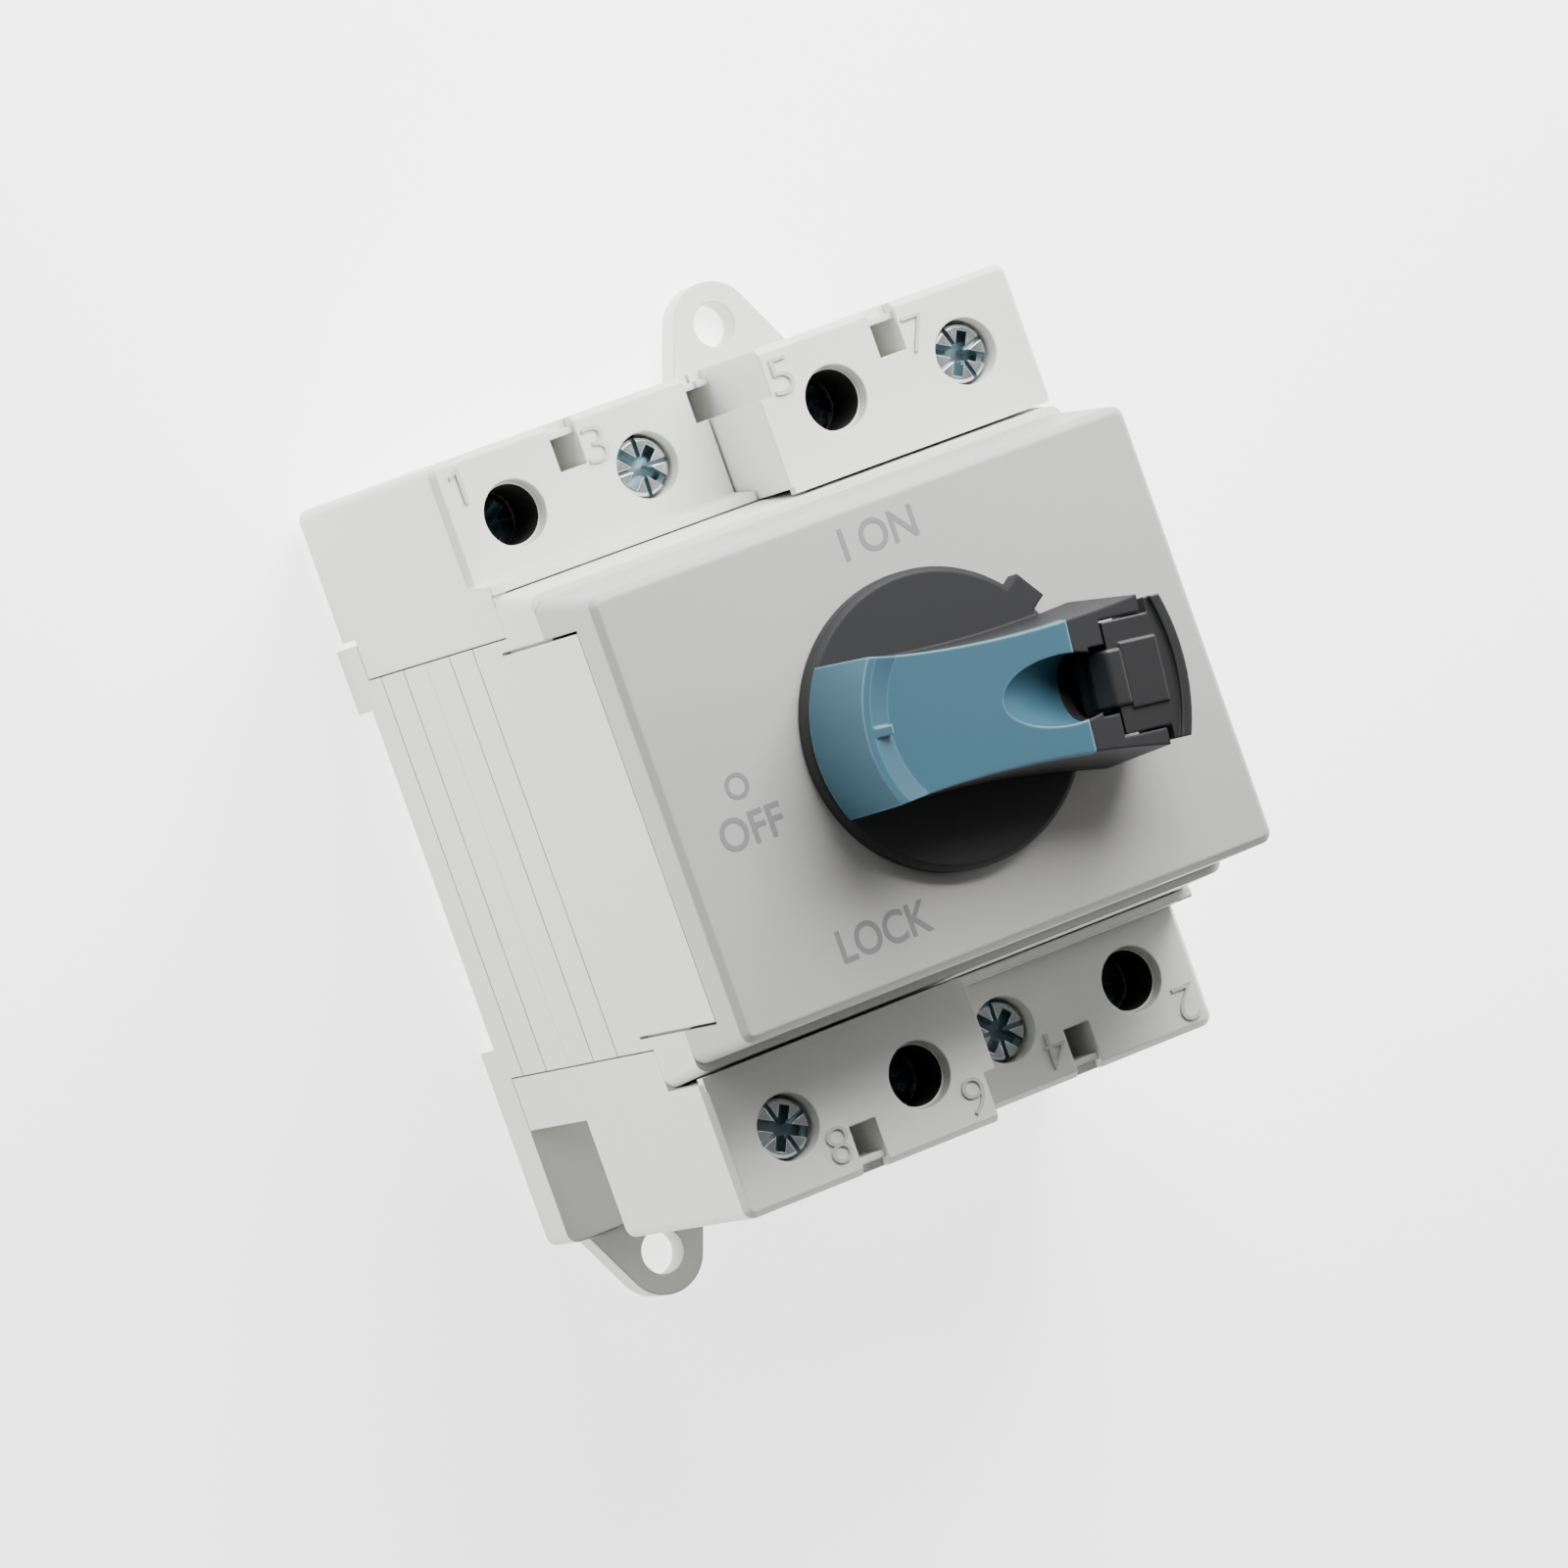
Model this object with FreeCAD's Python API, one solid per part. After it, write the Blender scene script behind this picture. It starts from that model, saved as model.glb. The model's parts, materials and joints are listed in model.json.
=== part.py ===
import FreeCAD, Part
import math
import os

V = FreeCAD.Vector
ORIGIN = V(0, 0, 0)
AXIS_X = V(1, 0, 0)
AXIS_Y = V(0, 1, 0)
AXIS_Z = V(0, 0, 1)

# Four-pole rotary switch disconnector, lying on its back.
# X runs across the front, Y up the front towards terminals 1, 3, 5 and 7,
# Z from the rail to the handle. The origin is the middle of the rear face.
# The body looks the same after half a turn about Z, the handle and its rotor apart.

# Body
BODY_WIDTH = 61.0
FRONT_HEIGHT = 45.2
STACK_STEP = 2.8
SHOULDER_LENGTH = 4.2
TERMINAL_LENGTH = 14.1
SEAM_GAP = 0.15
EDGE_BEVEL = 0.6
CORNER_RADIUS = 1.2
OVERCUT = 1.0
FINE_OVERCUT = 0.01
INNER_SIDES = 12

# Rail mounting
RAIL_SLOT = 36.4
RAIL_DEPTH = 3.6
BASE_THICKNESS = 4.9
FLANGE_DROP = 3.1
FOOT_INSET = 0.5
FLANGE_INSET = 0.4

# Stack of pole decks
POLES = 4
DECK_PITCH = 5.93
DECK_FLOOR = 1.0
CHEEK_WALL = 1.7
CHAMBER_REACH = 14.5
SHAFT_WAY_RADIUS = 4.0
SEAM_GROOVE = 0.2

# Terminal blocks
TERMINAL_EDGE = 7.3
PITCH_MARGIN = 0.2
CLAMP_INSET = 7.0
BLOCK_DEPTH = 28.8
LOW_BLOCK_REAR = 2.3
LEDGE_RISE = 0.2
LEDGE_WIDTH = 0.9
LEDGE_DRAFT = 0.5
BLOCK_BACK_WALL = 1.3
MOUTH_RADIUS = 3.35
MOUTH_DEPTH = 1.4
NOTCH_WIDTH = 3.0
NOTCH_LENGTH = 4.9
NOTCH_DEPTH = 6.0
NOTCH_RIB = 0.7
NOTCH_RIB_INSET = 0.9
NOTCH_RIB_DROP = 0.6

# Screw clamps
TONGUE_RISE = 6.5
CAGE_WIDTH = 8.6
CAGE_LENGTH = 7.0
CAGE_WALL = 1.3
CAGE_TOP = 1.6
CAGE_FLOOR = 1.4
CAGE_WINDOW = 7.1
CAGE_SLACK = 0.4
CAGE_TRAVEL = 3.4
CAGE_SIDE_GAP = 0.2
SCREW_RADIUS = 2.0
SCREW_HEAD_RADIUS = 2.95
SCREW_HEAD_HEIGHT = 3.2
SCREW_SLOT = 0.9
SCREW_SLOT_DEPTH = 1.0
SCREW_SHELF = 1.7
FIRST_SCREW_TURN = -55.5
SCREW_TURN_STEP = 9.5
THREAD_CLEARANCE = 0.06
WIRE_WIDTH = 6.8
WIRE_HEIGHT = 6.1
WIRE_DROP = 0.3
WIRE_FUNNEL = 0.7

# Contacts
STRIP_WIDTH = 5.0
STRIP_THICKNESS = 1.2
STRIP_CLEARANCE = 0.2
OUTER_TIP_ANGLE = 135.0
INNER_TIP_ANGLE = 120.0
OUTER_BEND_REACH = 17.5
INNER_BEND_REACH = 15.5
BEND_INSET = 2.0
TIP_RADIUS = 10.2
RISER_GAP = 0.8
TONGUE_GAP = 0.3
BRIDGE_RADIUS = 13.3
BRIDGE_WIDTH = 5.6
BRIDGE_THICKNESS = 2.6
BRIDGE_CLEARANCE = 0.08
BRIDGE_EYE = 10.6
ROTOR_RADIUS = 9.0
ROTOR_SIDES = 20
ROTOR_SLEEVE = 7.6
ROTOR_GAP = 0.3
SHAFT_SIDE = 5.0
SHAFT_FIT = 0.05
SHAFT_FOOT_GAP = 0.4
PIVOT_RADIUS = 2.4
PIVOT_CLEARANCE = 0.06

# Snap mechanism and its housing
MECHANISM_HEIGHT = 8.78
HOUSING_FLOOR = 2.3
FLANGE_HEIGHT = 8.4
FLANGE_DRAFT = 0.9
PANEL_HEIGHT = 7.6
PANEL_INSET = 1.5
PANEL_WALL = 2.0
PANEL_SLOT = 0.3
SLOT_DEPTH = 0.8
SLOT_DROP = 2.2
CAVITY_WALL_X = 8.5
CAVITY_WALL_Y = 6.4
STAR_DROP = 1.0
STAR_HEIGHT = 4.0
ROLLER_RADIUS = 1.5
ROLLER_CLEARANCE = 0.1
NOTCH_SINK = 0.7
NOTCH_FLAT = 0.6
STAR_SIDES = 24
SPRING_LEAF = 0.5
SPRING_HALF = 13.0
SPRING_BOW = 3.0
SPRING_RIB_HALF = 1.5
SPRING_STEPS = 4

# Front cover
COVER_HEIGHT = 12.7
COVER_FLARE = 1.1
COVER_WALL = 2.0
WINDOW_DEPTH = 3.0

# Handle
HANDLE_REST = -7.0
OFF_ANGLE = 180.0
ON_ANGLE = 90.0
LOCK_ANGLE = 225.0
DISC_RADIUS = 14.8
DISC_HEIGHT = 2.2
DISC_GAP = 0.2
DISC_BEVEL = 0.5
NECK_RADIUS = 8.0
NECK_CLEARANCE = 0.08
NECK_DEPTH = 4.6
GRIP_HEIGHT = 9.1
RIDGE_HEIGHT = 1.1
GRIP_WAIST_X = 2.0
FOOT_END_RADIUS = 14.6
FOOT_NOSE_HALF = 7.5
FOOT_WAIST_HALF = 7.0
FOOT_TAIL_X = 15.6
FOOT_TAIL_HALF = 8.3
HEAD_END_RADIUS = 13.75
HEAD_NOSE_HALF = 7.2
HEAD_WAIST_HALF = 6.1
HEAD_TAIL_X = 18.6
HEAD_TAIL_HALF = 7.3
CAP_LENGTH = 10.3
CAP_WALL = 1.4
CAP_END_RADIUS = 12.4
RIDGE_FOOT = 10.6
RIDGE_CREST = 12.9
SCOOP_RADIUS = 3.4
SCOOP_ANGLE = 30.0
SCOOP_CENTRE = 8.5
SCOOP_LENGTH = 20.0
SCOOP_AFTER = 8.0
TROUGH_START = 1.0
TROUGH_WALL = 1.2
TROUGH_LIP = 0.5
TICK_WIDTH = 1.0
TICK_REACH = 0.3
TICK_BACK = 0.2
LUG_ANGLE = 41.8
LUG_REACH = 16.2
LUG_WIDTH = 3.4
LUG_ROOT = 2.0
SHAFT_RISE = 3.2
HANDLE_SCREW_DEPTH = 7.0
HANDLE_SCREW_HEAD = 2.0

# Lock tab
TAB_START = 13.9
TAB_HALF = 5.5
TAB_GAP = 0.25
TAB_FOOT = 0.85
TAB_RISE = 0.5
TAB_REACH = 21.6
TAB_WING_START = 18.9
TAB_WING_HALF = 7.0
TAB_STEP = 1.0
TAB_STEP_DROP = 0.5
TAB_NOSE_REACH = 1.5
TAB_NOSE_DROP = 5.0
TAB_ROOM = 4.0
TONGUE_THICKNESS = 1.25
TONGUE_START = 5.5
TONGUE_HALF = 4.0
PLATE_INSET = 1.3
PLATE_LENGTH = 4.0
PLATE_HALF = 3.2
PLATE_DROP = 0.25
SHACKLE_INNER_WALL = 0.7
SHACKLE_OUTER_WALL = 1.8
SHACKLE_RISE = 5.6

# Rail clips
CLIP_INSET = 10.3
EAR_REACH = 4.2
CLIP_HOLE_RADIUS = 2.35
EAR_RADIUS = 4.5
EAR_THICKNESS = 3.0
EAR_SHOULDER_IN = 6.4
EAR_SHOULDER_OUT = 7.1
EAR_GAP = 0.3
CLIP_STEM_HALF = 3.8
CLIP_WING_HALF = 5.2
CLIP_WING_BOTTOM = 1.4
CLIP_HOOK_REACH = 1.6
CLIP_HOOK_TOP = 2.3
CLIP_HOOK_SLOPE = 1.2
CLIP_GAP = 0.2
CLIP_TRAVEL = 4.0
CLIP_WING_INSET = 1.8
CLIP_WING_STOP = 6.1

# Assembly screws
BOLT_INSET = 4.1
BOLT_Y = 9.5
BOLT_RADIUS = 1.5
BOLT_HEAD_RADIUS = 2.7
BOLT_HEAD_HEIGHT = 1.7
BOLT_HEAD_SINK = 0.3
BOLT_CLEARANCE = 0.1
BOLT_REACH = 0.5

# Places across and along the body
HALF_WIDTH = BODY_WIDTH / 2
STACK_END = FRONT_HEIGHT / 2 + STACK_STEP
STACK_SHOULDER = STACK_END - SHOULDER_LENGTH
HALF_LENGTH = STACK_END + TERMINAL_LENGTH
NECK_X = HALF_WIDTH - CHEEK_WALL
CHEEK_X = NECK_X + SEAM_GAP
BLOCK_START = STACK_END + SEAM_GAP
CHEEK_END = STACK_SHOULDER + SEAM_GAP
TERMINAL_Y = STACK_END + CLAMP_INSET
TERMINAL_PITCH = (HALF_WIDTH - PITCH_MARGIN) / 2
INNER_TERMINAL = HALF_WIDTH - TERMINAL_PITCH - TERMINAL_EDGE
NOTCH_START = HALF_LENGTH - NOTCH_LENGTH
FOOT_END = STACK_END - FOOT_INSET
FLANGE_END = HALF_LENGTH - FLANGE_INSET
PANEL_HALF = STACK_SHOULDER - PANEL_INSET
CAVITY_HALF_X = HALF_WIDTH - CAVITY_WALL_X
CAVITY_HALF_Y = STACK_END - CAVITY_WALL_Y
STAR_RADIUS = CAVITY_HALF_X / 2
BOLT_X = HALF_WIDTH - BOLT_INSET
CLIP_X = HALF_WIDTH - CLIP_INSET
CLIP_HOLE_Y = FLANGE_END + EAR_REACH
CLIP_HOOK = RAIL_SLOT / 2 - CLIP_HOOK_REACH
CLIP_WING_START = RAIL_SLOT / 2 + CLIP_WING_INSET
CLIP_WING_END = FLANGE_END - CLIP_WING_STOP
SHACKLE_RADIUS = (TAB_REACH - TAB_START - SHACKLE_INNER_WALL - SHACKLE_OUTER_WALL) / 2
SHACKLE_X = TAB_START + SHACKLE_INNER_WALL + SHACKLE_RADIUS

# Levels, from the rail to the handle
BASE_TOP = RAIL_DEPTH + BASE_THICKNESS
FLANGE_TOP = BASE_TOP - FLANGE_DROP
CHEEK_REAR = FLANGE_TOP + SEAM_GAP
STACK_TOP = BASE_TOP + POLES * DECK_PITCH
FLANGE_START = STACK_TOP + MECHANISM_HEIGHT
LEDGE_TOP = FLANGE_START + LEDGE_RISE
STAR_START = FLANGE_START - STAR_DROP
BOLT_END = FLANGE_START + OVERCUT
COVER_START = FLANGE_START + FLANGE_HEIGHT
PANEL_TOP = COVER_START + PANEL_HEIGHT
FRONT_Z = COVER_START + COVER_HEIGHT
NECK_END = FRONT_Z - NECK_DEPTH
DISC_TOP = FRONT_Z + DISC_HEIGHT
GRIP_TOP = DISC_TOP + GRIP_HEIGHT
RIDGE_TOP = GRIP_TOP + RIDGE_HEIGHT
TAB_BOTTOM = DISC_TOP + TAB_FOOT
TAB_TOP = GRIP_TOP + TAB_RISE
SHACKLE_Z = DISC_TOP + SHACKLE_RISE
SHAFT_TOP = DISC_TOP + SHAFT_RISE
SCREW_SEAT = SHAFT_TOP + OVERCUT

# Clamps, counted from the level of their contact tongue
STRIP_HALF = STRIP_THICKNESS / 2
CAGE_CEILING = STRIP_HALF + CAGE_SLACK
SHELF_TOP = CAGE_CEILING + CAGE_TOP + CAGE_TRAVEL + 2 * CAGE_SIDE_GAP + SCREW_SHELF
HEAD_TOP = SHELF_TOP + SEAM_GAP + SCREW_HEAD_HEIGHT
FACE_RISE = HEAD_TOP + MOUTH_DEPTH

# Turns of the handle from its pose at rest
ON_TURN = ON_ANGLE - OFF_ANGLE - HANDLE_REST
LOCK_TURN = LOCK_ANGLE - OFF_ANGLE - HANDLE_REST


def box(x0, x1, y0, y1, z0, z1):
    return Part.makeBox(x1 - x0, y1 - y0, z1 - z0, V(x0, y0, z0))


def cylinder(x, y, z0, z1, radius):
    return Part.makeCylinder(radius, z1 - z0, V(x, y, z0))


def cylinder_along(start, direction, length, radius):
    return Part.makeCylinder(radius, length, start, direction)


def prism(points, z0, z1):
    corners = [V(x, y, z0) for x, y in points]
    face = Part.Face(Part.makePolygon(corners + corners[:1]))
    return face.extrude(V(0, 0, z1 - z0))


def side_prism(points, half_width):
    corners = [V(x, -half_width, z) for x, z in points]
    face = Part.Face(Part.makePolygon(corners + corners[:1]))
    return face.extrude(V(0, 2 * half_width, 0))


def facetted(x, y, z0, z1, radius, sides=INNER_SIDES, shift=0):
    corners = [on_circle(radius, 360 * (corner + shift) / sides) for corner in range(sides)]
    return prism([(x + dx, y + dy) for dx, dy in corners], z0, z1)


def facetted_way(x, y, z0, z1, reach):
    return facetted(x, y, z0, z1, reach / math.cos(math.pi / INNER_SIDES), INNER_SIDES, 0.5)


def square_way(x, y, half, z0, z1):
    return box(x - half, x + half, y - half, y + half, z0, z1)


def rounded_outline(half_x, half_y, radius, z):
    corners = [(1, 1, 0), (-1, 1, 90), (-1, -1, 180), (1, -1, 270)]
    edges = []
    last = None
    first = None
    for sx, sy, start in corners:
        centre = V(sx * (half_x - radius), sy * (half_y - radius), z)
        spread = [math.radians(start + step) for step in (0, 45, 90)]
        arc = [centre + V(radius * math.cos(a), radius * math.sin(a), 0) for a in spread]
        if last is not None:
            edges.append(Part.LineSegment(last, arc[0]).toShape())
        edges.append(Part.Arc(*arc).toShape())
        first = first or arc[0]
        last = arc[2]
    edges.append(Part.LineSegment(last, first).toShape())
    return Part.Wire(edges)


def drafted_block(half_x0, half_y0, z0, half_x1, half_y1, z1, radius):
    rear = rounded_outline(half_x0, half_y0, radius, z0)
    front = rounded_outline(half_x1, half_y1, radius, z1)
    return Part.makeLoft([rear, front], True, True)


def fuse(shapes):
    return shapes[0].fuse(shapes[1:]).removeSplitter()


def cut(shape, tools):
    return shape.cut(tools).removeSplitter()


def half_turn(shape):
    turned = shape.copy()
    turned.rotate(ORIGIN, AXIS_Z, 180)
    return turned


def turned_about_z(shape, degrees):
    turned = shape.copy()
    turned.rotate(ORIGIN, AXIS_Z, degrees)
    return turned


def rounded(shape, radius, wanted):
    return shape.makeFillet(radius, [edge for edge in shape.Edges if wanted(edge.BoundBox)])


def bevelled(shape, size, wanted):
    return shape.makeChamfer(size, [edge for edge in shape.Edges if wanted(edge.BoundBox)])


def is_upright(size):
    return size.XLength < 1e-6 and size.YLength < 1e-6


def is_level_at(size, z):
    return size.ZMin > z - 1e-3


def save(name, shape):
    shape.exportStep("parts/%s.step" % name)


# Poles: terminal place, contact level and clamp level of each

def pole_x(pole):
    outer = INNER_TERMINAL + TERMINAL_PITCH
    return (-outer, -INNER_TERMINAL, INNER_TERMINAL, outer)[pole]


def contact_z(pole):
    return BASE_TOP + (pole + 0.5) * DECK_PITCH


def clamp_z(pole):
    return contact_z(pole) + TONGUE_RISE


def face_z(pole):
    return clamp_z(pole | 1) + FACE_RISE


def tip_angle(pole):
    angle = OUTER_TIP_ANGLE if pole in (0, POLES - 1) else INNER_TIP_ANGLE
    return angle if pole_x(pole) < 0 else 180 - angle


def on_circle(radius, degrees):
    angle = math.radians(degrees)
    return (radius * math.cos(angle), radius * math.sin(angle))


def flat_strip(route, width, z0, z1):
    headings = [math.atan2(b[1] - a[1], b[0] - a[0]) for a, b in zip(route, route[1:])]
    before = headings[:1] + headings
    after = headings + headings[-1:]
    left = []
    right = []
    for (x, y), into, out in zip(route, before, after):
        normal = (into + out + math.pi) / 2
        reach = width / 2 / math.cos((out - into) / 2)
        left.append((x + reach * math.cos(normal), y + reach * math.sin(normal)))
        right.append((x - reach * math.cos(normal), y - reach * math.sin(normal)))
    return prism(left + right[::-1], z0, z1)


def strip_route(pole):
    x = pole_x(pole)
    outer = pole in (0, POLES - 1)
    reach = OUTER_BEND_REACH if outer else INNER_BEND_REACH
    angle = tip_angle(pole)
    return [(x, reach + BEND_INSET), on_circle(reach, angle), on_circle(TIP_RADIUS, angle)]


def strip_path(pole, start_y, width, z0, z1):
    return flat_strip([(pole_x(pole), start_y)] + strip_route(pole), width, z0, z1)


# Base with its rail slot and clip channels

def clip_channel():
    gap = CLIP_GAP
    stem = CLIP_STEM_HALF + gap
    wing = CLIP_WING_HALF + gap
    top = EAR_THICKNESS + gap
    way = box(CLIP_X - stem, CLIP_X + stem, 0, HALF_LENGTH + OVERCUT, -OVERCUT, top)
    track_end = CLIP_WING_END + CLIP_TRAVEL + 2 * gap
    track_bottom = CLIP_WING_BOTTOM - gap
    track = box(CLIP_X - wing, CLIP_X + wing, CLIP_WING_START - 2 * gap, track_end, track_bottom, top)
    return fuse([way, track])


def bolt_places():
    return [(-BOLT_X, BOLT_Y), (BOLT_X, -BOLT_Y)]


def bolt_ways(z0, z1):
    return [square_way(x, y, BOLT_RADIUS + BOLT_CLEARANCE, z0, z1) for x, y in bolt_places()]


def base_plate():
    slot = RAIL_SLOT / 2
    plate = box(-HALF_WIDTH, HALF_WIDTH, -STACK_SHOULDER, STACK_SHOULDER, RAIL_DEPTH, BASE_TOP)
    foot = box(-HALF_WIDTH, HALF_WIDTH, slot, FOOT_END, 0, FLANGE_TOP)
    flange = box(0, HALF_WIDTH, slot, FLANGE_END, 0, FLANGE_TOP)
    flange = rounded(flange, CORNER_RADIUS, lambda size: is_upright(size) and size.YMin > FOOT_END)
    neck = box(-NECK_X, NECK_X, -STACK_END, STACK_END, RAIL_DEPTH, BASE_TOP)
    body = fuse([plate, foot, half_turn(foot), flange, half_turn(flange), neck])
    pivot = cylinder(0, 0, RAIL_DEPTH + DECK_FLOOR, BASE_TOP + OVERCUT, PIVOT_RADIUS + PIVOT_CLEARANCE)
    seat_top = RAIL_DEPTH + BOLT_HEAD_SINK + BOLT_HEAD_HEIGHT + BOLT_CLEARANCE
    seats = [facetted_way(x, y, 0, seat_top, BOLT_HEAD_RADIUS + BOLT_CLEARANCE) for x, y in bolt_places()]
    channel = clip_channel()
    return cut(body, [pivot, channel, half_turn(channel)] + seats + bolt_ways(0, BASE_TOP + OVERCUT))


# Pole decks, stacked on the base

def deck_outline(z0, z1):
    wide = box(-HALF_WIDTH, HALF_WIDTH, -STACK_SHOULDER, STACK_SHOULDER, z0, z1)
    narrow = box(-NECK_X, NECK_X, -STACK_END, STACK_END, z0, z1)
    return fuse([wide, narrow])


def side_groove(z0, z1, depth):
    reach = HALF_WIDTH - depth
    end = STACK_SHOULDER + OVERCUT
    groove = box(reach, HALF_WIDTH + OVERCUT, -end, end, z0, z1)
    return [groove, half_turn(groove)]


def pole_deck(pole):
    bottom = BASE_TOP + pole * DECK_PITCH
    top = bottom + DECK_PITCH
    body = deck_outline(bottom, top)
    chamber = facetted_way(0, 0, bottom + DECK_FLOOR, top + OVERCUT, CHAMBER_REACH)
    shaft_way = facetted_way(0, 0, bottom - OVERCUT, top + OVERCUT, SHAFT_WAY_RADIUS)
    level = contact_z(pole) - STRIP_HALF
    width = STRIP_WIDTH + 2 * STRIP_CLEARANCE
    channel = strip_path(pole, STACK_END + OVERCUT, width, level, top + OVERCUT)
    tools = [chamber, shaft_way, channel, half_turn(channel)] + bolt_ways(bottom - OVERCUT, top + OVERCUT)
    if pole != 2:
        tools += side_groove(bottom, bottom + SEAM_GROOVE, SEAM_GROOVE)
    return cut(body, tools)


# Contacts: two fixed strips and one turning bridge for each pole

def fixed_contact(pole):
    level = contact_z(pole)
    x = pole_x(pole)
    half = STRIP_WIDTH / 2
    tongue_z = clamp_z(pole)
    riser_end = TERMINAL_Y - CAGE_LENGTH / 2 - RISER_GAP
    riser = box(x - half, x + half, riser_end - STRIP_THICKNESS, riser_end,
                level - STRIP_HALF, tongue_z + STRIP_HALF)
    tongue_end = TERMINAL_Y + CAGE_LENGTH / 2 - TONGUE_GAP
    tongue = box(x - half, x + half, riser_end - STRIP_THICKNESS, tongue_end,
                 tongue_z - STRIP_HALF, tongue_z + STRIP_HALF)
    path = strip_path(pole, riser_end, STRIP_WIDTH, level - STRIP_HALF, level + STRIP_HALF)
    return fuse([path, riser, tongue])


def rotor_angle(pole):
    return tip_angle(pole) - ON_TURN


def bridge_blank(pole):
    level = contact_z(pole)
    half = BRIDGE_THICKNESS / 2
    bar = box(-BRIDGE_RADIUS, BRIDGE_RADIUS, -BRIDGE_WIDTH / 2, BRIDGE_WIDTH / 2,
              level - half, level + half)
    eye = square_bar(BRIDGE_EYE, level - half, level + half)
    hole = square_bar(ROTOR_SLEEVE, level - 2 * half, level + 2 * half)
    return cut(fuse([bar, eye]), [hole])


def moving_contact(pole):
    level = contact_z(pole)
    gap = STRIP_HALF + BRIDGE_CLEARANCE
    end = BRIDGE_RADIUS + OVERCUT
    slot = box(ROTOR_RADIUS, end, -BRIDGE_WIDTH, BRIDGE_WIDTH, level - gap, level + gap)
    return turned_about_z(cut(bridge_blank(pole), [slot, half_turn(slot)]), rotor_angle(pole))


def square_bar(side, z0, z1):
    half = side / 2
    return box(-half, half, -half, half, z0, z1)


def rotor(pole):
    bottom = BASE_TOP + pole * DECK_PITCH + DECK_FLOOR + ROTOR_GAP
    top = BASE_TOP + (pole + 1) * DECK_PITCH - ROTOR_GAP
    disc = facetted(0, 0, bottom, top, ROTOR_RADIUS, ROTOR_SIDES)
    bore = square_bar(SHAFT_SIDE + 2 * SHAFT_FIT, bottom - OVERCUT, top + OVERCUT)
    bore.rotate(ORIGIN, AXIS_Z, HANDLE_REST - rotor_angle(pole))
    blank = cut(disc, [bridge_blank(pole), bore])
    return turned_about_z(blank, rotor_angle(pole))


def drive_shaft():
    foot = BASE_TOP + SHAFT_FOOT_GAP
    bar = square_bar(SHAFT_SIDE, foot, SHAFT_TOP)
    pivot = cylinder(0, 0, RAIL_DEPTH + DECK_FLOOR + ROTOR_GAP, foot, PIVOT_RADIUS)
    bore = facetted(0, 0, SHAFT_TOP - HANDLE_SCREW_DEPTH - OVERCUT, SHAFT_TOP + OVERCUT,
                    BOLT_RADIUS + BOLT_CLEARANCE / 2)
    return turned_about_z(cut(fuse([bar, pivot]), [bore]), HANDLE_REST)


# Terminal blocks, clamps and their screws

def wire_way(pole):
    x = pole_x(pole)
    top = clamp_z(pole) - WIRE_DROP
    bottom = top - WIRE_HEIGHT
    half = WIRE_WIDTH / 2
    way = box(x - half, x + half, TERMINAL_Y, HALF_LENGTH + OVERCUT, bottom, top)
    rims = [rim(x, bottom, top, half, HALF_LENGTH - 2 * WIRE_FUNNEL, 0),
            rim(x, bottom, top, half, HALF_LENGTH + FINE_OVERCUT, WIRE_FUNNEL)]
    return fuse([way, Part.makeLoft(rims, True, True)])


def rim(x, bottom, top, half, y, growth):
    corners = [(x - half - growth, bottom - growth), (x + half + growth, bottom - growth),
               (x + half + growth, top + growth), (x - half - growth, top + growth)]
    points = [V(px, y, pz) for px, pz in corners]
    return Part.makePolygon(points + points[:1])


def clamp_space(pole):
    x = pole_x(pole)
    level = clamp_z(pole)
    half_x = CAGE_WIDTH / 2 + CAGE_SIDE_GAP
    half_y = CAGE_LENGTH / 2 + CAGE_SIDE_GAP
    floor = level + CAGE_CEILING - CAGE_WINDOW - CAGE_FLOOR - CAGE_SIDE_GAP
    ceiling = level + SHELF_TOP - SCREW_SHELF
    room = box(x - half_x, x + half_x, TERMINAL_Y - half_y, TERMINAL_Y + half_y, floor, ceiling)
    strip = STRIP_WIDTH / 2 + STRIP_CLEARANCE
    lead = box(x - strip, x + strip, BLOCK_START - OVERCUT, TERMINAL_Y,
               contact_z(pole) - STRIP_HALF - STRIP_CLEARANCE, level + STRIP_HALF + STRIP_CLEARANCE)
    shank = square_way(x, TERMINAL_Y, SCREW_RADIUS + SEAM_GAP, level, level + SHELF_TOP + OVERCUT)
    mouth = cylinder(x, TERMINAL_Y, level + SHELF_TOP, face_z(pole) + OVERCUT, MOUTH_RADIUS)
    return [room, lead, shank, mouth, wire_way(pole)]


def notch(x, face):
    half = NOTCH_WIDTH / 2
    end = HALF_LENGTH + OVERCUT
    rear = face - NOTCH_DEPTH
    pocket = box(x - half, x + half, NOTCH_START, end, rear, face + BLOCK_DEPTH)
    rib_end = HALF_LENGTH - NOTCH_RIB_INSET
    rib_start = rib_end - NOTCH_RIB
    rib = box(x - NOTCH_WIDTH, x + NOTCH_WIDTH, rib_start, rib_end, rear, face - NOTCH_RIB_DROP)
    outside = box(x - NOTCH_WIDTH, x + NOTCH_WIDTH, rib_start, end, rear, face - 3 * NOTCH_RIB_DROP)
    return pocket.cut([rib, outside])


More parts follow.
